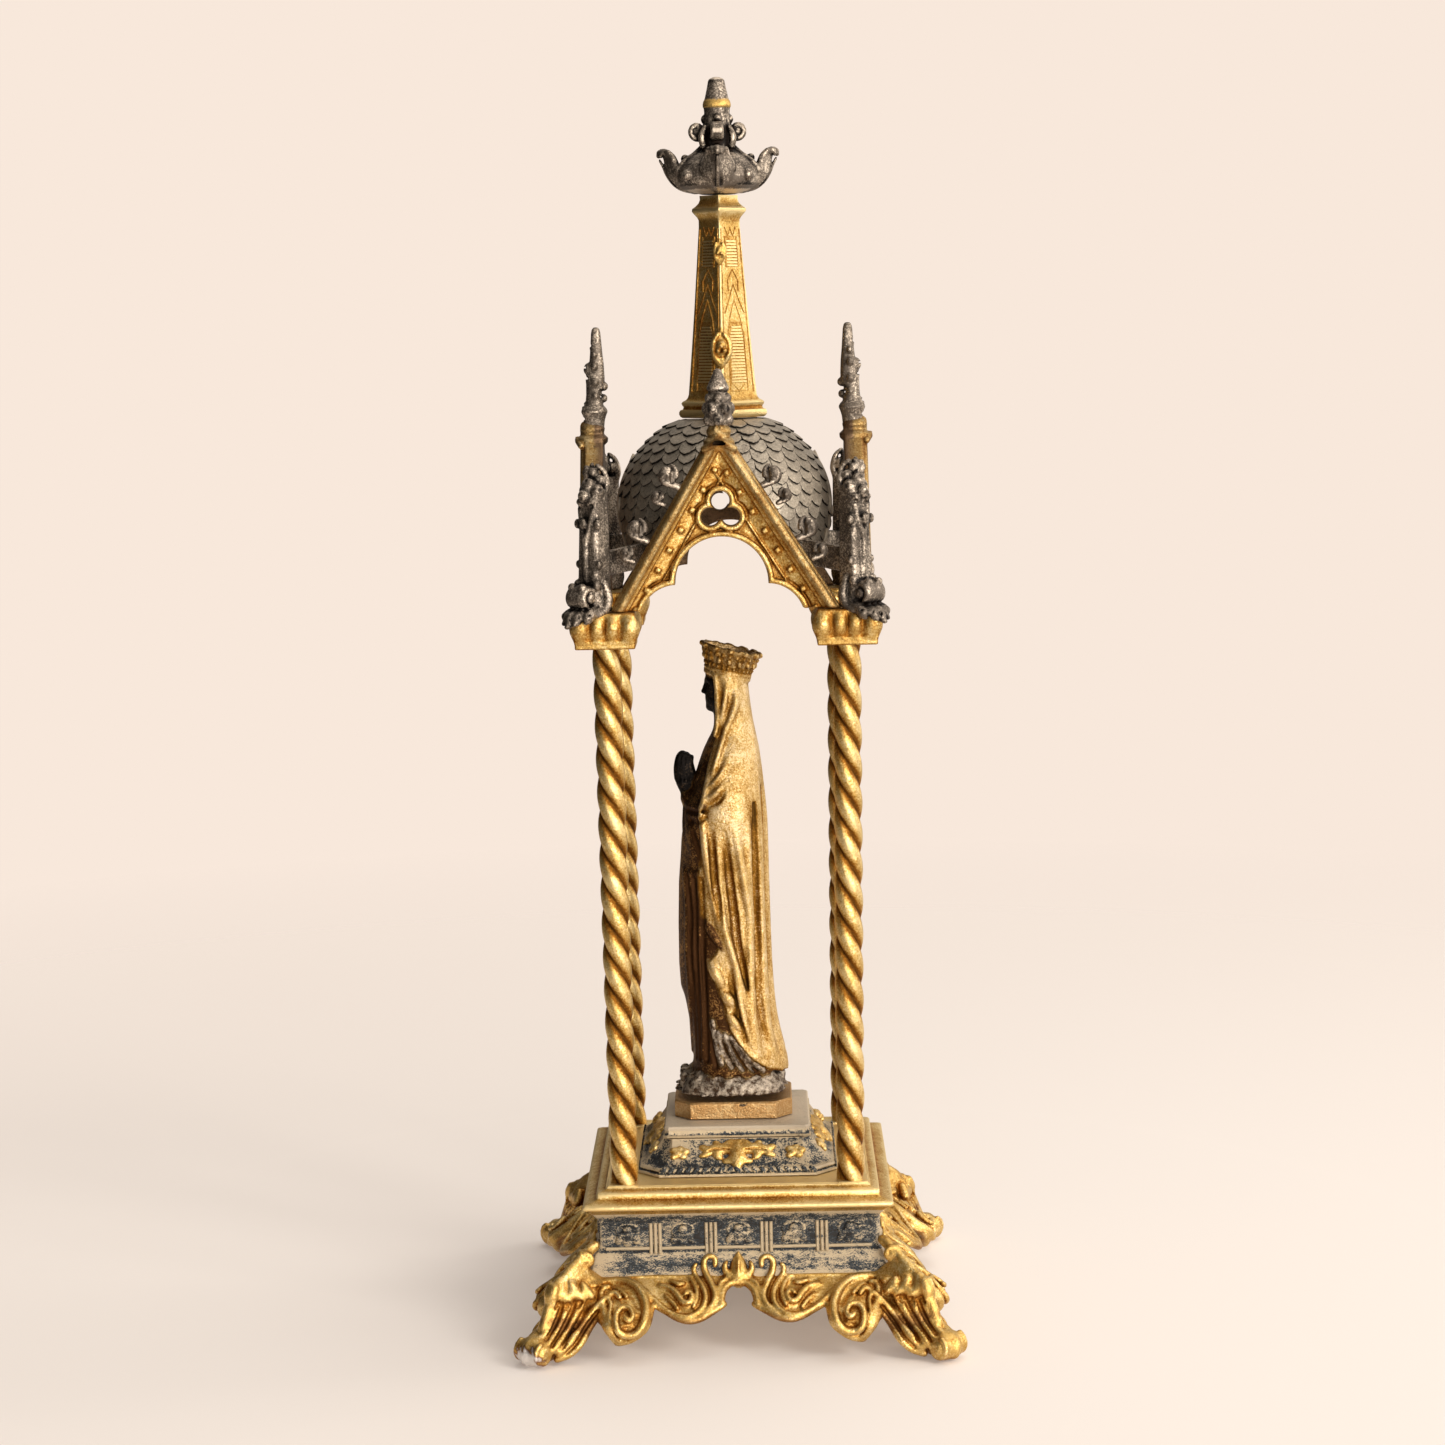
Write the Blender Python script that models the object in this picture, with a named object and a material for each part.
"""Gilt canopy shrine: a pierced canopy on twisted columns over a crowned praying figure.

Metres, +Z up, +X to the right, and the front looks along -Y. The origin is on the ground, in
the middle of the four feet.
"""
import math

import bmesh
import bpy
from mathutils import Matrix, Vector

# Clearances: between pieces that touch, and between a gable's foot and the pier beside it
GAP = 0.0003
SIDE_GAP = 0.0005

# Statue: seen from its left, it faces -X, and it stands a little to the left of the middle
STATUE_HEIGHT = 0.1785
STATUE_SLAB_LENGTH = 0.0441
STATUE_SLAB_WIDTH = 0.0370
STATUE_SLAB = 0.0064
STATUE_SLAB_CUT = 0.0060
STATUE_SLAB_BEVEL = 0.0006
STATUE_X = -0.0013

# Pedestal: a foot band, a sloping block with cut corners, and a slab round the statue's own
PEDESTAL_BAND = 0.0030
PEDESTAL_SLOPE = 0.0089
PEDESTAL_SLAB = 0.0046
SLAB_MARGIN = 0.00475
SLAB_LIP = 0.0008
SLAB_BEVEL = 0.0006
SLAB_CUT = 0.0014
PEDESTAL_SPREAD = 0.0087
PEDESTAL_FOOT = 0.0015
PEDESTAL_CUT = 0.0080
SLOPE_HEAD_CUT = 0.0032
ORNAMENT_HALF = 0.0105
ORNAMENT_HEIGHT = 0.0109
ORNAMENT_RELIEF = 0.0012
ORNAMENT_ROOT = 0.0010

# Columns: three strands, twisted to the left, leaning outwards a little
COLUMN_RADIUS = 0.00515
COLUMN_GROOVE = 0.00095
COLUMN_HEIGHT = 0.1978
COLUMN_STRANDS = 3
COLUMN_LEAD = 0.0363
COLUMN_SET = 0.0048
TWIST_STEP = math.radians(60)

# Base: how far its square steps stand out, from the top plate inwards and down
TOP_MARGIN = 0.00105
STEP_ROUND = 0.0010
STEP_OUT = 0.0038
PLATE_OUT = 0.0048
FRIEZE_INSET = 0.0058
COVE_LIP_OUT = 0.0021
SLOPE_OUT = 0.0020
APRON_OUT = 0.0044
TOE_OUT = 0.0224

# Base: the heights of its steps, from the ground up
APRON_TOP = 0.0262
SLOPE_HEIGHT = 0.0081
BEVEL_HEIGHT = 0.0035
FRIEZE_HEIGHT = 0.0075
COVE_HEIGHT = 0.0036
LIP_HEIGHT = 0.0028
PLATE_EDGE = 0.0017
PLATE_SLOPE = 0.0013
STEP_HEIGHT = 0.0024
STEP_EDGE = 0.0011

# Frieze: panels with a small bust, parted by ribbed bars
FRIEZE_PANELS = 5
BAR_WIDTH = 0.0034
BAR_RELIEF = 0.0010
BUST_WIDTH = 0.0062
BUST_RELIEF = 0.0018

# Apron: how far its lower edge lies below its top, and along it from the middle or the toe
NOTCH_HALF = 0.0054
NOTCH_DROP = 0.0020
NOTCH_DEPTH = 0.0082
FESTOON_DROP = 0.0127
FESTOON_RISE = 0.0060
FESTOON_LOW = 0.38
FESTOON_SWELL = 0.0030
SCROLL_RADIUS = 0.0088
SCROLL_DROP = 0.0067
SCROLL_SWELL = 0.0036
SCROLL_FROM_TOE = 0.0372
DROP_LENGTH = 0.0189
DROP_FROM_TOE = 0.0312
FOOT_NOTCH_FROM_TOE = 0.0250
FOOT_NOTCH_DROP = 0.0132
FOOT_NOTCH_LIP = 0.0028
APRON_FLARE = 0.0150
SCROLL_FLARE = 0.0188
APRON_WALL = 0.0042
CEILING_DROP = 0.0037

# Feet: a ribbed leaf on each corner, out over a knee and down to a curled toe
KNEE_OUT = 0.0122
KNEE_DROP = 0.0007
ANKLE_OUT = 0.0176
ANKLE_HEIGHT = 0.0108
TOE_HEIGHT = 0.0080
TOE_CURL = 0.0010
SOLE_START = 0.0025
SOLE_LENGTH = 0.0063
LEAF_HALF = 0.0082
LEAF_RIB = 0.0011

# Capitals: a slab and a lobed cushion
CAPITAL_SLAB = 0.0046
CAPITAL_HALF = 0.0126
CAPITAL_OVERHANG = 0.0018
CAPITAL_CUSHION = 0.0083
CAPITAL_LOBES = 12
CAPITAL_LOBE_DEPTH = 0.0010
CAPITAL_TOP_INSET = 0.0017

# Dome: a shell open below, with a pointed opening behind each gable
DOME_RADIUS = 0.0410
DOME_WALL = 0.0026
DOME_RIM_RISE = 0.0145
DOME_DRUM = 0.0142
DOME_OPENING_HALF = 0.0228
DOME_OPENING_HEIGHT = 0.0370
DOME_SIDES = 20
DOME_STEPS = 5

# Gables: a cusped arch under two moulded rakes, pierced by a trefoil, with buds and a pinnacle
DOME_CLEARANCE = 0.0032
HEAD_INSET = 0.0010
GABLE_DEPTH = 0.0064
RAKE_RELIEF = 0.0032
GABLE_RISE = 0.0668
RAKE_TORUS = 0.0034
RAKE_SHOULDER = 0.0016
RAKE_STEP = 0.0012
RAKE_STEP_WIDTH = 0.0006
ARCH_MARGIN = 0.0093
ARCH_CROWN_RADIUS = 0.0168
ARCH_CROWN_HEIGHT = 0.0168
ARCH_CUSP_RISE = 0.0090
ARCH_LOBE_RADIUS = 0.0190
ARCH_RIM = 0.0017
RIM_RELIEF = 0.0010
TREFOIL_OVER_ARCH = 0.0090
TREFOIL_LOBE = 0.0032
TREFOIL_REACH = 0.0036
TREFOIL_RIM = 0.0014
CROCKET_SIZE = 0.0030
CROCKET_OUT = 0.0045
PINNACLE_HALF = 0.0057
PINNACLE_INSET = 0.0020
PINNACLE_DEPTH = 0.0102
PINNACLE_SINK = 0.0040
PINNACLE_HEIGHT = 0.0372
BROKEN_PINNACLE_SINK = 0.0078
BROKEN_PINNACLE_HEIGHT = 0.0266

# Corner brackets: a pier set across the corner, a web in to the dome, buds and a foot leaf
PIER_SET = 0.0056
PIER_DEPTH = 0.0074
PIER_WIDTH = 0.0112
PIER_HEIGHT = 0.0440
PIER_FLARE = 0.0008
PIER_ARRIS = 0.0010
PIER_BUD = 0.0042
WEB_WIDTH = 0.0030
WEB_HEIGHT = 0.0090
WEB_OVER_RIM = 0.0005
WEB_SLANT = 0.0080
WEB_ROOT = 0.0020
PIER_LEAF_REACH = 0.0100
PIER_LEAF_HEIGHT = 0.0100
PIER_LEAF_TIP_HEIGHT = 0.0038
PIER_LEAF_HALF = 0.0062
PIER_LEAF_THICKNESS = 0.0032

# Spire: square, set with an arris to the front
SPIRE_HEIGHT = 0.0810
SPIRE_COLLAR = 0.0162
SPIRE_COLLAR_HEIGHT = 0.0064
COLLAR_OVERHANG = 0.0002
SPIRE_BASE = 0.0128
SPIRE_TOP = 0.0077
SPIRE_CAP = 0.0100
SPIRE_CAP_HEIGHT = 0.0105
SPIRE_NECK = 0.0072
SPIRE_PANEL_DEPTH = 0.0009
SPIRE_BUD = 0.0028

# Finial: a leafy bowl with four curled petals, a ring of buds and a stem
FINIAL_HEIGHT = 0.0421
FINIAL_BOWL = 0.0176
FINIAL_PETAL = 0.0220
FINIAL_PETAL_RISE = 0.0146
FINIAL_PETAL_CURL = 0.0030
FINIAL_WAIST = 0.0052
FINIAL_BUD = 0.0100
FINIAL_BUD_RISE = 0.0210
FINIAL_STEM = 0.0048
FINIAL_TIP = 0.0029

# Colours: linear red, green and blue
GILT = (0.60, 0.36, 0.07)
OLD_GILT = (0.38, 0.21, 0.04)
PATINA = (0.060, 0.050, 0.042)
SLATE = (0.16, 0.14, 0.12)
COVE_PAINT = (0.055, 0.085, 0.11)
COPPER_GILT = (0.52, 0.28, 0.09)

# Widths that follow, from the statue's slab outwards
PEDESTAL_SLAB_HALF = STATUE_SLAB_LENGTH / 2 + SLAB_MARGIN
SLOPE_FOOT_HALF = PEDESTAL_SLAB_HALF + PEDESTAL_SPREAD
PEDESTAL_HALF = SLOPE_FOOT_HALF + PEDESTAL_FOOT
COLUMN_FOOT_HALF = PEDESTAL_HALF + COLUMN_SET
TOP_HALF = COLUMN_FOOT_HALF + COLUMN_RADIUS + TOP_MARGIN
STEP_HALF = TOP_HALF + STEP_OUT
PLATE_HALF = STEP_HALF + PLATE_OUT
FRIEZE_HALF = PLATE_HALF - FRIEZE_INSET
APRON_HALF = FRIEZE_HALF + APRON_OUT
APRON_INNER_HALF = APRON_HALF - APRON_WALL
TOE_SPREAD = APRON_HALF + TOE_OUT

# Widths that follow, from the dome outwards
DOME_TOP_RADIUS = SPIRE_COLLAR - COLLAR_OVERHANG
GABLE_BACK = DOME_RADIUS + DOME_CLEARANCE
GABLE_BAND = GABLE_BACK + GABLE_DEPTH
GABLE_FRONT = GABLE_BAND + RAKE_RELIEF
COLUMN_HEAD_HALF = GABLE_BACK - HEAD_INSET
PIER_OUTER = (GABLE_BACK + PIER_SET) * math.sqrt(2)
PIER_INNER = PIER_OUTER - PIER_DEPTH
GABLE_FOOT_HALF = (PIER_INNER - PIER_WIDTH / 2 - PIER_FLARE) / math.sqrt(2) - SIDE_GAP
ARCH_FOOT_HALF = GABLE_FOOT_HALF - ARCH_MARGIN
TREFOIL_RISE = ARCH_CUSP_RISE + ARCH_CROWN_HEIGHT + TREFOIL_OVER_ARCH

# Levels that follow, from the ground up
SLOPE_TOP = APRON_TOP + SLOPE_HEIGHT
FRIEZE_BOTTOM = SLOPE_TOP + BEVEL_HEIGHT
FRIEZE_TOP = FRIEZE_BOTTOM + FRIEZE_HEIGHT
COVE_LIP = FRIEZE_TOP + COVE_HEIGHT
PLATE_Z = COVE_LIP + LIP_HEIGHT
STEP_Z = PLATE_Z + PLATE_EDGE + PLATE_SLOPE
BASE_HEIGHT = STEP_Z + STEP_HEIGHT + STEP_EDGE
PEDESTAL_Z = BASE_HEIGHT + GAP
SLAB_Z = PEDESTAL_Z + PEDESTAL_BAND + PEDESTAL_SLOPE
STATUE_Z = SLAB_Z + PEDESTAL_SLAB + GAP
COLUMN_Z = BASE_HEIGHT + GAP
CAPITAL_Z = COLUMN_Z + COLUMN_HEIGHT + GAP
CANOPY_Z = CAPITAL_Z + CAPITAL_SLAB + CAPITAL_CUSHION + GAP
DOME_Z = CANOPY_Z + DOME_RIM_RISE
DOME_RISE = math.sqrt(DOME_RADIUS ** 2 - DOME_TOP_RADIUS ** 2)
SPIRE_Z = DOME_Z + DOME_DRUM + DOME_RISE + GAP
FINIAL_Z = SPIRE_Z + SPIRE_HEIGHT + GAP

CORNERS = {"front_left": (-1, -1), "front_right": (1, -1), "rear_right": (1, 1), "rear_left": (-1, 1)}
SIDES = ("front", "right", "rear", "left")


# General tools

def clear_scene():
    for item in list(bpy.data.objects):
        bpy.data.objects.remove(item, do_unlink=True)


def metal(name, colour, roughness, metallic=1.0):
    material = bpy.data.materials.new(name)
    material.use_nodes = True
    shader = material.node_tree.nodes["Principled BSDF"]
    shader.inputs["Base Color"].default_value = (*colour, 1.0)
    shader.inputs["Roughness"].default_value = roughness
    shader.inputs["Metallic"].default_value = metallic
    return material


def add_object(name, bm, material):
    """Makes an object from a closed bmesh whose faces are turned outwards."""
    bmesh.ops.recalc_face_normals(bm, faces=bm.faces)
    mesh = bpy.data.meshes.new(name)
    bm.to_mesh(mesh)
    bm.free()
    mesh.materials.append(material)
    mesh.shade_smooth()
    mesh.set_sharp_from_angle(angle=math.radians(35))
    result = bpy.data.objects.new(name, mesh)
    bpy.context.scene.collection.objects.link(result)
    return result


def combine(target, tool, operation):
    """Cuts or joins the tool into the target, and removes the tool."""
    modifier = target.modifiers.new(operation.lower(), "BOOLEAN")
    modifier.operation = operation
    modifier.object = tool
    modifier.solver = "EXACT"
    graph = bpy.context.evaluated_depsgraph_get()
    mesh = bpy.data.meshes.new_from_object(target.evaluated_get(graph))
    target.modifiers.remove(modifier)
    target.data = mesh
    bpy.data.objects.remove(tool, do_unlink=True)


def skin(bm, rings):
    """Joins rings of equal length with quads, and closes both ends."""
    rows = [[bm.verts.new(point) for point in ring] for ring in rings]
    count = len(rows[0])
    for low, high in zip(rows, rows[1:]):
        for i in range(count):
            j = (i + 1) % count
            bm.faces.new((low[i], low[j], high[j], high[i]))
    for row in (rows[0], rows[-1]):
        bm.faces.new(row)


def turned(bm, levels, sides, start=0.0):
    """A form with equal sides round the middle, from (radius, height) levels."""
    rings = []
    for radius, height in levels:
        rings.append([Vector((radius * math.cos(start + math.tau * i / sides),
                              radius * math.sin(start + math.tau * i / sides),
                              height)) for i in range(sides)])
    skin(bm, rings)


def bud(name, centre, size, stretch=1.3):
    """A small eight-faced knob, for a crocket or a leaf bud."""
    bm = bmesh.new()
    top = bm.verts.new(centre + Vector((0, 0, size * stretch)))
    bottom = bm.verts.new(centre - Vector((0, 0, size * stretch)))
    waist = []
    for i in range(4):
        angle = math.tau * (i + 0.37) / 4
        waist.append(bm.verts.new(centre + size * Vector((math.cos(angle), math.sin(angle), 0.07))))
    for i in range(4):
        j = (i + 1) % 4
        bm.faces.new((waist[i], waist[j], top))
        bm.faces.new((waist[j], waist[i], bottom))
    return add_object(name, bm, bpy.data.materials["gilt"])


def quarter_turn(target, side):
    """Turns a piece that is made for the front to another side."""
    target.data.transform(Matrix.Rotation(side * math.pi / 2, 4, "Z"))


# Base

def frieze_columns():
    """Places along one side of the frieze, with the relief there low and high in the panel."""
    pitch = 2 * FRIEZE_HALF / FRIEZE_PANELS
    columns = []
    for panel in range(FRIEZE_PANELS):
        middle = (panel - (FRIEZE_PANELS - 1) / 2) * pitch
        if panel:
            edge = middle - pitch / 2
            for share, relief in ((-1, 0), (-0.5, 1), (0.5, 1), (1, 0)):
                depth = relief * BAR_RELIEF
                columns.append((edge + share * BAR_WIDTH / 2, depth, depth))
        for share, low, high in ((-1, 0.7, 0.0), (0, 1.0, 0.9), (1, 0.7, 0.0)):
            columns.append((middle + share * BUST_WIDTH / 2, low * BUST_RELIEF, high * BUST_RELIEF))
    return columns


def apron_edge():
    """Lower edge of half an apron, from its middle to the foot: (along, out, height, swell)."""
    edge = []
    for angle in (90, 40, 0):
        turn = math.radians(angle)
        drop = NOTCH_DROP + NOTCH_DEPTH * (1 - math.sin(turn))
        flare = APRON_FLARE * (0.5 + 0.3 * math.cos(turn))
        edge.append((NOTCH_HALF * math.cos(turn), APRON_HALF + flare, APRON_TOP - drop, 0.0))
    scroll = TOE_SPREAD - SCROLL_FROM_TOE
    span = scroll - SCROLL_RADIUS - NOTCH_HALF
    for share in (0.14, FESTOON_LOW, 0.80):
        low = (share - FESTOON_LOW) / (FESTOON_LOW if share < FESTOON_LOW else 1 - FESTOON_LOW)
        height = APRON_TOP - FESTOON_DROP + FESTOON_RISE * low * low
        edge.append((NOTCH_HALF + span * share, APRON_HALF + APRON_FLARE, height,
                     FESTOON_SWELL * (1 - share)))
    out = APRON_HALF + SCROLL_FLARE
    for angle in (180, 222, 262):
        turn = math.radians(angle)
        edge.append((scroll + SCROLL_RADIUS * math.cos(turn), out,
                     APRON_TOP - SCROLL_DROP + SCROLL_RADIUS * math.sin(turn), SCROLL_SWELL))
    edge.append((TOE_SPREAD - DROP_FROM_TOE, out, APRON_TOP - DROP_LENGTH, FESTOON_SWELL))
    notch = TOE_SPREAD - FOOT_NOTCH_FROM_TOE
    height = APRON_TOP - FOOT_NOTCH_DROP
    edge.append((notch - FOOT_NOTCH_LIP, out - FOOT_NOTCH_LIP, height - 1.5 * FOOT_NOTCH_LIP, 0.0))
    edge.append((notch, out - 2 * FOOT_NOTCH_LIP, height, 0.0))
    return edge


def apron_column(along, out, height, bulge):
    """Points down the outside of the apron, round its lower edge and up the inside."""
    ceiling = APRON_TOP - CEILING_DROP
    bend = TOE_SPREAD - SCROLL_FROM_TOE - SCROLL_RADIUS
    top_along = along
    if along > bend:
        top_along = bend + (along - bend) * (APRON_HALF - bend) / (TOE_SPREAD - bend)
    points = []
    for share in (0.0, 0.22, 0.64, 1.0):
        swell = bulge * 4 * share * (1 - share)
        points.append((top_along + (along - top_along) * share,
                       APRON_HALF + (out - APRON_HALF) * share + swell,
                       APRON_TOP + (height - APRON_TOP) * share + 0.6 * swell))
    points.append((along, out - APRON_WALL, min(height, ceiling)))
    points.append(((along + top_along) / 2, (out + APRON_HALF) / 2 - APRON_WALL,
                   (min(height, ceiling) + ceiling) / 2))
    points.append((top_along * APRON_INNER_HALF / APRON_HALF, APRON_INNER_HALF, ceiling))
    return points


def foot_column(across, depth):
    """Points down one rib or hollow of the corner leaf; across is 0 on its arris, 1 at its edge."""
    sole = TOE_SPREAD - SOLE_START
    rows = ((APRON_HALF, APRON_TOP, 0.0), (APRON_HALF + KNEE_OUT, APRON_TOP - KNEE_DROP, 0.95),
            (APRON_HALF + ANKLE_OUT, ANKLE_HEIGHT, 0.9), (TOE_SPREAD + TOE_CURL, TOE_HEIGHT, 0.75),
            (sole, 0.0, 0.65), (sole - SOLE_LENGTH, 0.0, 0.55), (APRON_INNER_HALF, 0.0, 0.0))
    half = math.sqrt(0.5)
    points = []
    for spread, height, share in rows:
        side = across * LEAF_HALF * share
        back = (depth + 0.45 * across * across * LEAF_HALF) * share
        lift = -0.35 * across * across * LEAF_HALF * share if height > TOE_HEIGHT else 0.0
        points.append((spread - (side + back) * half, spread + (side - back) * half, height + lift))
    # The top and the ceiling stay on the straight sides of the body
    end = APRON_HALF * (1 - 0.055 * across)
    points[0] = (end, APRON_HALF, APRON_TOP)
    points[-1] = (end * APRON_INNER_HALF / APRON_HALF, APRON_INNER_HALF, APRON_TOP - CEILING_DROP)
    return points


def base_stations():
    """Columns of points along one side, from its left corner up to, but not with, its right one."""
    apron = [apron_column(*place) for place in apron_edge()]
    foot = [foot_column(0.95, 0.0), foot_column(0.62, -LEAF_RIB), foot_column(0.34, LEAF_RIB)]
    right = apron + foot
    left = [[(-along, out, height) for along, out, height in column] for column in right[:0:-1]]
    corner = [(-along, out, height) for along, out, height in foot_column(0.0, 0.0)]
    return [corner] + left + right


def build_base(material):
    bm = bmesh.new()
    turns = [Matrix.Rotation(side * math.pi / 2, 4, "Z") for side in range(4)]
    stations = base_stations()
    columns = []
    for turn in turns:
        for column in stations:
            columns.append([bm.verts.new(turn @ Vector((a, -o, h))) for a, o, h in column])
    total = len(columns)
    for i in range(total):
        here, there = columns[i], columns[(i + 1) % total]
        for row in range(len(here) - 1):
            bm.faces.new((here[row], there[row], there[row + 1], here[row + 1]))
    bm.faces.new([column[-1] for column in columns])

    def square(half, height):
        places = ((-half, -half), (half, -half), (half, half), (-half, half))
        return [bm.verts.new((x, y, height)) for x, y in places]

    steps = [square(FRIEZE_HALF + SLOPE_OUT, SLOPE_TOP), square(FRIEZE_HALF, FRIEZE_BOTTOM)]
    frieze = frieze_columns()
    step = FRIEZE_HEIGHT / 5
    heights = (FRIEZE_BOTTOM, FRIEZE_BOTTOM + step, FRIEZE_TOP - step, FRIEZE_TOP)
    corner_rows = [steps[1]] + [square(FRIEZE_HALF, height) for height in heights[1:]]
    outline = ((FRIEZE_HALF + COVE_LIP_OUT, COVE_LIP), (PLATE_HALF, PLATE_Z),
               (PLATE_HALF, PLATE_Z + PLATE_EDGE), (STEP_HALF, STEP_Z),
               (STEP_HALF - STEP_ROUND, STEP_Z + STEP_HEIGHT), (TOP_HALF, BASE_HEIGHT))
    upper = [square(half, height) for half, height in outline]
    for side, turn in enumerate(turns):
        after = (side + 1) % 4
        first = side * len(stations)
        low = [columns[(first + i) % total][0] for i in range(len(stations) + 1)]
        bm.faces.new(low + [steps[0][after], steps[0][side]])
        grid = []
        for level, height in enumerate(heights):
            row = [corner_rows[level][side]]
            for along, low_relief, high_relief in frieze:
                relief = (0.0, low_relief, high_relief, 0.0)[level]
                row.append(bm.verts.new(turn @ Vector((along, -FRIEZE_HALF - relief, height))))
            grid.append(row + [corner_rows[level][after]])
        bm.faces.new([steps[0][side], steps[0][after]] + grid[0][::-1])
        for under, over in zip(grid, grid[1:]):
            for i in range(len(under) - 1):
                bm.faces.new((under[i], under[i + 1], over[i + 1], over[i]))
        bm.faces.new(grid[-1] + [upper[0][after], upper[0][side]])
        for under, over in zip(upper, upper[1:]):
            bm.faces.new((under[side], under[after], over[after], over[side]))
    bm.faces.new(upper[-1])
    return add_object("base", bm, material)


# Pedestal and its gilt leaf ornaments

def cut_square(half, cut, height):
    """A square ring with its corners cut off."""
    inner = half - cut
    return [Vector((x, y, height)) for x, y in (
        (-inner, -half), (inner, -half), (half, -inner), (half, inner),
        (inner, half), (-inner, half), (-half, inner), (-half, -inner))]


def leaf_ornament(side, material):
    """A hanging four-armed leaf on one sloping face."""
    outward = Vector((0, -PEDESTAL_SLOPE, PEDESTAL_SPREAD)).normalized()
    down = Vector((0, -PEDESTAL_SPREAD, -PEDESTAL_SLOPE)).normalized()
    middle = Vector((0, -(PEDESTAL_SLAB_HALF + SLOPE_FOOT_HALF) / 2, SLAB_Z - PEDESTAL_SLOPE / 2))
    outline = []
    for i in range(12):
        turn = math.tau * i / 12
        reach = 0.5 if i % 3 else 1.0
        outline.append(Vector((ORNAMENT_HALF * reach * math.cos(turn), 0, 0))
                       + 0.5 * ORNAMENT_HEIGHT * reach * math.sin(turn) * down)
    bm = bmesh.new()
    skin(bm, [[middle - ORNAMENT_ROOT * outward + p for p in outline],
              [middle + ORNAMENT_RELIEF * outward + 0.6 * p for p in outline]])
    result = add_object("leaf", bm, material)
    quarter_turn(result, side)
    return result


def build_pedestal(material):
    top = SLAB_Z + PEDESTAL_SLAB
    bm = bmesh.new()
    skin(bm, [cut_square(PEDESTAL_HALF, PEDESTAL_CUT, PEDESTAL_Z),
              cut_square(SLOPE_FOOT_HALF, PEDESTAL_CUT, PEDESTAL_Z + PEDESTAL_BAND),
              cut_square(PEDESTAL_SLAB_HALF, SLOPE_HEAD_CUT, SLAB_Z),
              cut_square(PEDESTAL_SLAB_HALF + SLAB_LIP, SLAB_CUT, SLAB_Z + SLAB_LIP),
              cut_square(PEDESTAL_SLAB_HALF, SLAB_CUT, top - SLAB_BEVEL),
              cut_square(PEDESTAL_SLAB_HALF - SLAB_BEVEL, SLAB_CUT, top)])
    result = add_object("pedestal", bm, material)
    for side in range(4):
        combine(result, leaf_ornament(side, material), "UNION")
    return result


# Columns and capitals

def build_column(name, signs, material):
    turn_total = math.tau * COLUMN_HEIGHT / COLUMN_LEAD
    count = math.ceil(turn_total / TWIST_STEP)
    points = 2 * COLUMN_STRANDS
    rings = []
    for level in range(count + 1):
        share = level / count
        half = COLUMN_FOOT_HALF + (COLUMN_HEAD_HALF - COLUMN_FOOT_HALF) * share
        ring = []
        for i in range(points):
            angle = math.tau * i / points - turn_total * share
            radius = COLUMN_RADIUS - (COLUMN_GROOVE if i % 2 else 0.0)
            ring.append(Vector((signs[0] * half + radius * math.cos(angle),
                                signs[1] * half + radius * math.sin(angle),
                                COLUMN_Z + COLUMN_HEIGHT * share)))
        rings.append(ring)
    bm = bmesh.new()
    skin(bm, rings)
    return add_object(name, bm, material)


def rounded_square(angle, half):
    """Distance from the middle to a square with well rounded corners."""
    power = 5.0
    reach = (abs(math.cos(angle)) ** power + abs(math.sin(angle)) ** power) ** (-1 / power)
    return half * reach


def build_capital(name, signs, material):
    x, y = signs[0] * COLUMN_HEAD_HALF, signs[1] * COLUMN_HEAD_HALF
    points = 2 * CAPITAL_LOBES

    def ring(half, height, depth):
        result = []
        for i in range(points):
            angle = math.tau * i / points
            reach = rounded_square(angle, half) - (depth if i % 2 else 0.0)
            result.append(Vector((x + reach * math.cos(angle), y + reach * math.sin(angle), height)))
        return result

    cushion = CAPITAL_Z + CAPITAL_SLAB
    slab_half = CAPITAL_HALF - CAPITAL_OVERHANG
    bm = bmesh.new()
    skin(bm, [ring(slab_half, CAPITAL_Z, 0.0),
              ring(slab_half, cushion, 0.0),
              ring(CAPITAL_HALF, cushion + 0.45 * CAPITAL_CUSHION, CAPITAL_LOBE_DEPTH),
              ring(CAPITAL_HALF - CAPITAL_TOP_INSET, cushion + CAPITAL_CUSHION, 0.0)])
    return add_object(name, bm, material)


# Gables

def arch_outline():
    """The cusped arch from its right foot to its left one, with an outward direction at each point."""
    cusp = Vector((ARCH_CROWN_RADIUS, ARCH_CUSP_RISE))
    foot = Vector((ARCH_FOOT_HALF, 0.0))
    chord = cusp - foot
    middle = (cusp + foot) / 2
    normal = Vector((chord.y, -chord.x)).normalized()
    if normal.x > 0:
        normal = -normal
    sag = math.sqrt(max(ARCH_LOBE_RADIUS ** 2 - (chord.length / 2) ** 2, 0.0))
    centre = middle + normal * sag
    first = math.atan2(foot.y - centre.y, foot.x - centre.x)
    last = math.atan2(cusp.y - centre.y, cusp.x - centre.x)
    right = []
    for i in range(3):
        angle = first + (last - first) * i / 3
        way = Vector((math.cos(angle), math.sin(angle)))
        right.append((centre + ARCH_LOBE_RADIUS * way, way))
    crown = []
    for i in range(9):
        angle = math.pi * i / 8
        way = Vector((math.cos(angle), math.sin(angle)))
        place = Vector((ARCH_CROWN_RADIUS * way.x, ARCH_CUSP_RISE + ARCH_CROWN_HEIGHT * way.y))
        if i in (0, 8):
            way = Vector((way.x, 0.9)).normalized()
        crown.append((place, way))
    left = [(Vector((-place.x, place.y)), Vector((-way.x, way.y))) for place, way in reversed(right)]
    return right + crown + left


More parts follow.
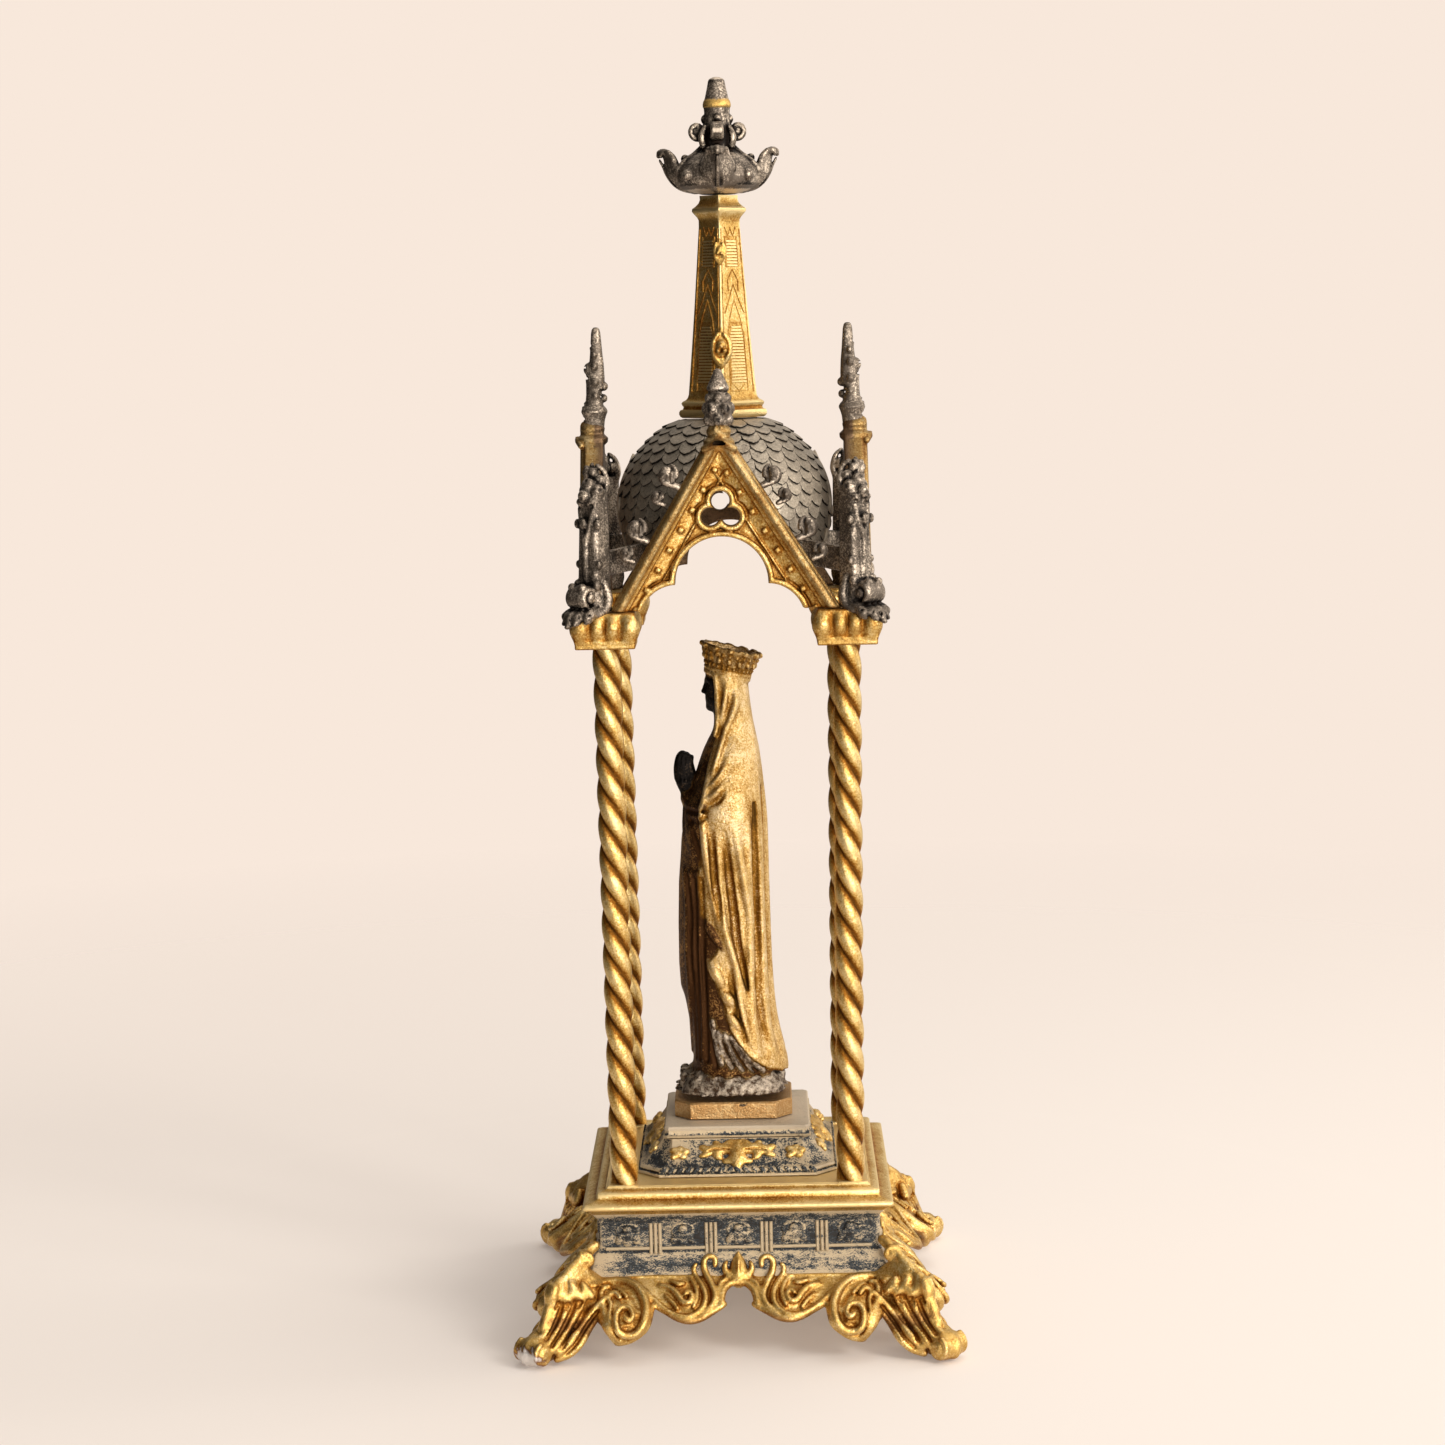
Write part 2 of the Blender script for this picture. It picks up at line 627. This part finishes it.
def trefoil_outline():
    """The trefoil, with an outward direction at each point."""
    outline = []
    for lobe in range(3):
        middle = math.radians(90 + 120 * lobe)
        centre = TREFOIL_REACH * Vector((math.cos(middle), math.sin(middle)))
        for step in (-1.0, -0.34, 0.34, 1.0):
            angle = middle + math.radians(96) * step
            way = Vector((math.cos(angle), math.sin(angle)))
            outline.append((centre + TREFOIL_LOBE * way + Vector((0, TREFOIL_RISE)), way))
    return outline


def rake_apex(inset):
    """Height over the canopy's foot where the two rakes meet, moved in by the inset."""
    slant = math.hypot(GABLE_FOOT_HALF, GABLE_RISE)
    return GABLE_RISE - inset * slant / GABLE_FOOT_HALF


def rake_half(inset, height=0.0):
    """Half width between the rakes at a height over the canopy's foot."""
    return (rake_apex(inset) - height) * GABLE_FOOT_HALF / GABLE_RISE


# Pinnacle levels as shares of its height, half width and depth, whole and with its tip broken off
WHOLE_PINNACLE = ((0.0, 0.70, 0.95), (0.11, 1.0, 1.0), (0.18, 0.95, 0.96), (0.24, 0.62, 0.76),
                  (0.46, 0.60, 0.68), (0.49, 0.86, 0.74), (0.62, 0.84, 0.76), (0.68, 0.46, 0.60),
                  (1.0, 0.32, 0.50))
BROKEN_PINNACLE = ((0.0, 0.70, 0.95), (0.15, 1.0, 1.0), (0.25, 0.95, 0.96), (0.30, 0.66, 0.66),
                   (0.50, 0.84, 0.78), (0.73, 0.58, 0.64), (0.76, 0.70, 0.70), (1.0, 0.16, 0.40))


def build_pinnacle(broken, material):
    """The collar, bud and tip on a gable, flat behind; the front one has lost its tip."""
    levels = BROKEN_PINNACLE if broken else WHOLE_PINNACLE
    full = BROKEN_PINNACLE_HEIGHT if broken else PINNACLE_HEIGHT
    base = CANOPY_Z + GABLE_RISE - (BROKEN_PINNACLE_SINK if broken else PINNACLE_SINK)
    back = GABLE_BACK - PINNACLE_INSET
    rings = []
    for rise, across, reach in levels:
        wide = PINNACLE_HALF * across
        front = back + PINNACLE_DEPTH * reach
        middle = (back + front) / 2
        ring = []
        for x, out in ((-0.7 * wide, back), (0.7 * wide, back), (wide, middle),
                       (0.55 * wide, front), (-0.55 * wide, front), (-wide, middle)):
            ring.append(Vector((x, -out, base + full * rise)))
        rings.append(ring)
    bm = bmesh.new()
    skin(bm, rings)
    return add_object("pinnacle", bm, material)


def build_gable(side, material):
    bm = bmesh.new()
    rim = GABLE_BAND + RIM_RELIEF

    def put(x, height, out):
        return bm.verts.new((x, -out, CANOPY_Z + height))

    rakes = []
    for inset, out in ((0.0, GABLE_BACK), (0.0, GABLE_FRONT - RAKE_SHOULDER),
                       (RAKE_TORUS * 0.5, GABLE_FRONT), (RAKE_TORUS, GABLE_BAND + RAKE_STEP),
                       (RAKE_TORUS + RAKE_STEP_WIDTH, GABLE_BAND)):
        rakes.append([put(-rake_half(inset), 0.0, out), put(0.0, rake_apex(inset), out),
                      put(rake_half(inset), 0.0, out)])
    for outer, inner in zip(rakes, rakes[1:]):
        for i in range(2):
            bm.faces.new((outer[i], outer[i + 1], inner[i + 1], inner[i]))
    arch = []
    for place, way in arch_outline():
        wide = place + ARCH_RIM * way
        high = max(wide.y, 0.0)
        arch.append((put(place.x, place.y, GABLE_BACK), put(place.x, place.y, rim),
                     put(wide.x, high, GABLE_BAND)))
    trefoil = []
    for place, way in trefoil_outline():
        wide = place + TREFOIL_RIM * way
        trefoil.append((put(place.x, place.y, GABLE_BACK), put(place.x, place.y, rim),
                        put(wide.x, wide.y, GABLE_BAND)))
    for here, there in zip(arch, arch[1:]):
        bm.faces.new((here[0], there[0], there[1], here[1]))
        bm.faces.new((here[1], there[1], there[2], here[2]))
    count = len(trefoil)
    for i in range(count):
        here, there = trefoil[i], trefoil[(i + 1) % count]
        bm.faces.new((here[0], there[0], there[1], here[1]))
        bm.faces.new((here[1], there[1], there[2], here[2]))
    for end, index in ((arch[0], 2), (arch[-1], 0)):
        bm.faces.new([end[0], end[1], end[2]] + [rake[index] for rake in reversed(rakes)])

    def fill(loops):
        edges = []
        for loop in loops:
            for here, there in zip(loop, loop[1:] + loop[:1]):
                edge = bm.edges.get((here, there))
                edges.append(edge or bm.edges.new((here, there)))
        bmesh.ops.triangle_fill(bm, edges=edges, use_beauty=True, use_dissolve=False)

    fill([rakes[-1] + [point[2] for point in arch], [point[2] for point in trefoil]])
    fill([rakes[0] + [point[0] for point in arch], [point[0] for point in trefoil]])
    name = "gable_" + SIDES[side]
    result = add_object(name, bm, material)
    combine(result, build_pinnacle(side == 0, material), "UNION")
    for sign in (-1, 1):
        for share in (0.36, 0.66):
            rise = GABLE_RISE * share
            place = Vector((sign * (rake_half(0.0, rise) + 0.25 * CROCKET_SIZE),
                            -(GABLE_BACK + CROCKET_OUT), CANOPY_Z + rise + 0.25 * CROCKET_SIZE))
            combine(result, bud("crocket", place, CROCKET_SIZE), "UNION")
    quarter_turn(result, side)
    return result


# Corner brackets

def build_bracket(name, signs, material):
    """Made along +X, from the middle outwards, then turned into its corner."""
    top = CANOPY_Z + PIER_HEIGHT
    half = PIER_WIDTH / 2
    rings = []
    for share, grow in ((0.0, 1.0), (0.23, 0.0), (0.73, -0.5), (0.955, -1.75)):
        wide = half + grow * PIER_FLARE
        height = CANOPY_Z + PIER_HEIGHT * share
        outer = PIER_OUTER + grow * PIER_FLARE
        rings.append([Vector((PIER_INNER, -wide, height)), Vector((outer - PIER_ARRIS, -wide, height)),
                      Vector((outer, 0.0, height)), Vector((outer - PIER_ARRIS, wide, height)),
                      Vector((PIER_INNER, wide, height))])
    bm = bmesh.new()
    skin(bm, rings)
    result = add_object(name, bm, material)

    near = DOME_RADIUS + GAP
    far = PIER_INNER + WEB_ROOT
    low = DOME_Z + WEB_OVER_RIM
    web = WEB_WIDTH / 2
    bm = bmesh.new()
    skin(bm, [[Vector((near, -web, low)), Vector((far, -web, low - WEB_SLANT)),
               Vector((far, web, low - WEB_SLANT)), Vector((near, web, low))],
              [Vector((near, -web, low + WEB_HEIGHT)), Vector((far, -web, low + WEB_HEIGHT)),
               Vector((far, web, low + WEB_HEIGHT)), Vector((near, web, low + WEB_HEIGHT))]])
    combine(result, add_object("web", bm, material), "UNION")

    rings = []
    for share, height, wide, thick in ((-0.30, PIER_LEAF_HEIGHT + 0.0015, 0.8, 1.0),
                                       (0.45, PIER_LEAF_HEIGHT, 1.0, 1.0),
                                       (1.0, PIER_LEAF_TIP_HEIGHT, 0.7, 0.7)):
        place = PIER_OUTER + share * PIER_LEAF_REACH
        wide *= PIER_LEAF_HALF
        height += CANOPY_Z
        under = height - thick * PIER_LEAF_THICKNESS
        rings.append([Vector((place, -wide, under)), Vector((place, wide, under)),
                      Vector((place, wide * 0.8, height)), Vector((place, 0.0, height + PIER_ARRIS)),
                      Vector((place, -wide * 0.8, height))])
    bm = bmesh.new()
    skin(bm, rings)
    combine(result, add_object("foot_leaf", bm, material), "UNION")

    for depth, across, drop in ((0.30, -0.60, 0.7), (0.20, 0.62, 1.0), (0.45, 0.05, -0.3)):
        place = Vector((PIER_OUTER - depth * PIER_DEPTH, across * half, top - drop * PIER_BUD))
        combine(result, bud("bud", place, PIER_BUD), "UNION")
    result.data.transform(Matrix.Rotation(math.atan2(signs[1], signs[0]), 4, "Z"))
    return result


# Dome

def build_dome(material):
    last = math.asin(DOME_RISE / DOME_RADIUS)
    outside = [(DOME_RADIUS, DOME_Z)]
    for i in range(DOME_STEPS + 1):
        angle = last * i / DOME_STEPS
        outside.append((DOME_RADIUS * math.cos(angle), DOME_Z + DOME_DRUM + DOME_RADIUS * math.sin(angle)))
    inner = DOME_RADIUS - DOME_WALL
    inside = [(inner, DOME_Z)]
    for i in range(3):
        angle = last * i / 2
        inside.append((inner * math.cos(angle), DOME_Z + DOME_DRUM + inner * math.sin(angle)))
    bm = bmesh.new()
    turned(bm, inside[::-1] + outside, DOME_SIDES, start=math.pi / DOME_SIDES)
    result = add_object("dome", bm, material)
    reach = DOME_RADIUS + DOME_WALL
    low = DOME_Z - DOME_WALL
    grow = DOME_OPENING_HALF * (1 + DOME_WALL / DOME_OPENING_HEIGHT)
    for side in range(2):
        bm = bmesh.new()
        profile = ((-grow, low), (grow, low), (0.0, DOME_Z + DOME_OPENING_HEIGHT))
        skin(bm, [[Vector((x, -reach, z)) for x, z in profile], [Vector((x, reach, z)) for x, z in profile]])
        cutter = add_object("opening", bm, material)
        quarter_turn(cutter, side)
        combine(result, cutter, "DIFFERENCE")
    return result


# Spire and finial

def build_spire(material):
    top = SPIRE_Z + SPIRE_HEIGHT
    foot = SPIRE_Z + SPIRE_COLLAR_HEIGHT
    head = top - SPIRE_CAP_HEIGHT
    bm = bmesh.new()
    turned(bm, [(0.94 * SPIRE_COLLAR, SPIRE_Z), (SPIRE_COLLAR, SPIRE_Z + 0.34 * SPIRE_COLLAR_HEIGHT),
                (1.06 * SPIRE_BASE, foot - 0.16 * SPIRE_COLLAR_HEIGHT), (SPIRE_BASE, foot),
                (SPIRE_TOP, head), (0.88 * SPIRE_CAP, head + 0.28 * SPIRE_CAP_HEIGHT),
                (SPIRE_CAP, head + 0.52 * SPIRE_CAP_HEIGHT),
                (SPIRE_NECK, head + 0.81 * SPIRE_CAP_HEIGHT), (0.95 * SPIRE_NECK, top)], 4)
    result = add_object("spire", bm, material)
    length = head - foot
    for face in range(4):
        for start, stop in ((0.04, 0.47), (0.53, 0.94)):
            bm = bmesh.new()
            rows = []
            for share in (start, stop):
                half = SPIRE_BASE + (SPIRE_TOP - SPIRE_BASE) * share
                rows.append((half / math.sqrt(2), half * 0.46, foot + length * share))
            (near, wide, low), (far, slim, high) = rows
            shoulder = high - 2.2 * slim
            lean = (far - near) / (high - low)
            middle = near + lean * (shoulder - low)
            outline = ((-wide, near, low), (wide, near, low), (slim * 1.1, middle, shoulder),
                       (0.0, far, high), (-slim * 1.1, middle, shoulder))
            skin(bm, [[Vector((x, -(out - SPIRE_PANEL_DEPTH), z)) for x, out, z in outline],
                      [Vector((x, -(out + SPIRE_PANEL_DEPTH), z)) for x, out, z in outline]])
            cutter = add_object("panel", bm, material)
            cutter.data.transform(Matrix.Rotation(math.radians(45 + 90 * face), 4, "Z"))
            combine(result, cutter, "DIFFERENCE")
    for sign in (-1, 1):
        for share, size in ((0.26, SPIRE_BUD), (0.80, 0.65 * SPIRE_BUD)):
            half = SPIRE_BASE + (SPIRE_TOP - SPIRE_BASE) * share
            place = Vector((0.0, sign * (half + 0.2 * size), foot + length * share))
            combine(result, bud("bud", place, size, 1.5), "UNION")
    return result


def build_finial(material):
    """Rings of sixteen points; each fourth one lies on an arris, where petals and buds stand out."""
    def ring(height, radius, tip_radius=None, tip_rise=0.0):
        tip_radius = tip_radius or radius
        result = []
        for i in range(16):
            angle = math.tau * i / 16
            peak = (1.0, 0.25, 0.0, 0.25)[i % 4]
            reach = radius + (tip_radius - radius) * peak
            result.append(Vector((reach * math.cos(angle), reach * math.sin(angle),
                                  FINIAL_Z + height + tip_rise * peak)))
        return result

    petal = FINIAL_PETAL_RISE
    knot = FINIAL_BUD_RISE
    stem = FINIAL_HEIGHT - knot
    bm = bmesh.new()
    skin(bm, [ring(0.0, 0.78 * SPIRE_NECK, SPIRE_NECK),
              ring(0.12 * petal, 0.70 * FINIAL_BOWL, 0.82 * FINIAL_BOWL),
              ring(0.26 * petal, 0.86 * FINIAL_BOWL, 0.99 * FINIAL_BOWL),
              ring(0.58 * petal, 0.94 * FINIAL_BOWL, 1.06 * FINIAL_BOWL),
              ring(0.73 * petal, 0.80 * FINIAL_BOWL, FINIAL_PETAL, FINIAL_PETAL_CURL),
              ring(0.88 * petal, 0.50 * FINIAL_BOWL, 0.66 * FINIAL_BOWL),
              ring(1.10 * petal, FINIAL_WAIST),
              ring(knot - 0.05 * stem, 1.2 * FINIAL_WAIST, FINIAL_BUD),
              ring(knot + 0.19 * stem, 1.1 * FINIAL_WAIST, 0.86 * FINIAL_BUD),
              ring(knot + 0.27 * stem, 0.8 * FINIAL_STEM, 0.95 * FINIAL_STEM),
              ring(knot + 0.53 * stem, 0.8 * FINIAL_STEM, FINIAL_STEM),
              ring(knot + 0.62 * stem, 0.8 * FINIAL_STEM, 0.92 * FINIAL_STEM),
              ring(FINIAL_HEIGHT, 0.75 * FINIAL_TIP, FINIAL_TIP)])
    return add_object("finial", bm, material)


# Statue

def between(table, height):
    """Reads a value from (height, value) pairs with straight steps between them."""
    if height <= table[0][0]:
        return table[0][1]
    for (low, first), (high, second) in zip(table, table[1:]):
        if height <= high:
            return first + (second - first) * (height - low) / (high - low)
    return table[-1][1]


# Profile of the figure as shares of its height: front, back and side reach from its middle
FRONT = ((0.05, 0.118), (0.09, 0.110), (0.105, 0.088), (0.15, 0.090), (0.234, 0.101), (0.32, 0.112),
         (0.49, 0.107), (0.58, 0.099), (0.66, 0.086), (0.70, 0.076), (0.742, 0.062), (0.775, 0.046),
         (0.81, 0.027), (0.835, 0.030), (0.855, 0.042), (0.885, 0.043), (0.915, 0.042), (1.0, 0.046))
BACK = ((0.05, 0.116), (0.09, 0.114), (0.105, 0.112), (0.15, 0.096), (0.234, 0.083), (0.32, 0.075),
        (0.50, 0.073), (0.62, 0.071), (0.73, 0.067), (0.797, 0.058), (0.848, 0.048), (0.885, 0.043),
        (0.915, 0.051), (0.9875, 0.078))
WIDE = ((0.05, 0.100), (0.09, 0.098), (0.105, 0.098), (0.20, 0.094), (0.40, 0.090), (0.55, 0.096),
        (0.64, 0.104), (0.70, 0.096), (0.76, 0.076), (0.79, 0.056), (0.82, 0.047), (0.88, 0.044),
        (0.915, 0.046), (0.9875, 0.060))
# Depth of the gown's folds as a share of its reach, at shares of the height
FOLDS = ((0.030, 0.02), (0.07, 0.06), (0.095, 0.03), (0.108, 0.07), (0.15, 0.09), (0.20, 0.09),
         (0.26, 0.08), (0.33, 0.08), (0.41, 0.07), (0.49, 0.06), (0.56, 0.05), (0.62, 0.04),
         (0.67, 0.03), (0.72, 0.03), (0.76, 0.03), (0.79, 0.03), (0.82, 0.02), (0.85, 0.02),
         (0.885, 0.0))
# Crown rings, up the outside and down into its hollow: height, fold, tilt to the front, size
CROWN = ((0.915, 0.0, 0.43, 1.0), (0.9875, 0.04, 0.26, 1.0), (0.984, 0.0, 0.26, 0.84),
         (0.955, 0.0, 0.26, 0.60))
# Joined hands: height, reach to the front, depth and half width
HANDS = ((0.600, 0.088, 0.022, 0.060), (0.655, 0.094, 0.030, 0.044), (0.690, 0.106, 0.022, 0.024),
         (0.735, 0.108, 0.019, 0.022), (0.765, 0.098, 0.010, 0.012))
FIGURE_POINTS = 16


def figure_ring(share, fold, tilt=0.0, shrink=1.0):
    front = between(FRONT, share) * STATUE_HEIGHT
    back = between(BACK, share) * STATUE_HEIGHT
    wide = between(WIDE, share) * STATUE_HEIGHT
    ring = []
    for i in range(FIGURE_POINTS):
        angle = math.tau * i / FIGURE_POINTS
        ripple = 1.0 + fold * (0.5 if i % 2 else -0.5)
        x = -math.cos(angle) * (front if math.cos(angle) > 0 else back) * ripple * shrink
        y = math.sin(angle) * wide * ripple * shrink
        ring.append(Vector((STATUE_X + x, y, STATUE_Z + STATUE_HEIGHT * share - tilt * x)))
    return ring


def build_statue(material):
    bm = bmesh.new()
    long_half, wide_half, cut = STATUE_SLAB_LENGTH / 2, STATUE_SLAB_WIDTH / 2, STATUE_SLAB_CUT
    outline = []
    for x, y in ((-1, -1), (1, -1), (1, 1), (-1, 1)):
        first = (x * (long_half - cut), y * wide_half)
        second = (x * long_half, y * (wide_half - cut))
        outline += [second, first] if x * y > 0 else [first, second]
    skin(bm, [[Vector((STATUE_X + x * size, y * size, height)) for x, y in outline]
              for size, height in ((1.0, STATUE_Z), (1.0, STATUE_Z + STATUE_SLAB - STATUE_SLAB_BEVEL),
                                   (0.97, STATUE_Z + STATUE_SLAB))])
    result = add_object("statue", bm, material)

    bm = bmesh.new()
    rings = [figure_ring(share, fold) for share, fold in FOLDS]
    rings += [figure_ring(*level) for level in CROWN]
    skin(bm, rings)
    combine(result, add_object("figure", bm, material), "UNION")

    bm = bmesh.new()
    rings = []
    for share, reach, deep, wide in HANDS:
        ring = []
        for i in range(6):
            angle = math.tau * i / 6
            ring.append(Vector((STATUE_X - (reach - deep + deep * math.cos(angle)) * STATUE_HEIGHT,
                                wide * math.sin(angle) * STATUE_HEIGHT,
                                STATUE_Z + STATUE_HEIGHT * share)))
        rings.append(ring)
    skin(bm, rings)
    combine(result, add_object("hands", bm, material), "UNION")
    return result


def main():
    clear_scene()
    gilt = metal("gilt", GILT, 0.42)
    old_gilt = metal("old_gilt", OLD_GILT, 0.45)
    patina = metal("patina", PATINA, 0.50)
    slate = metal("slate", SLATE, 0.60)
    paint = metal("cove_paint", COVE_PAINT, 0.65, 0.2)
    copper = metal("copper_gilt", COPPER_GILT, 0.40)
    build_base(paint)
    build_pedestal(patina)
    for corner, signs in CORNERS.items():
        build_column("column_" + corner, signs, gilt)
        build_capital("capital_" + corner, signs, gilt)
        build_bracket("bracket_" + corner, signs, patina)
    for side in range(4):
        build_gable(side, old_gilt)
    build_dome(slate)
    build_spire(gilt)
    build_finial(patina)
    build_statue(copper)


main()
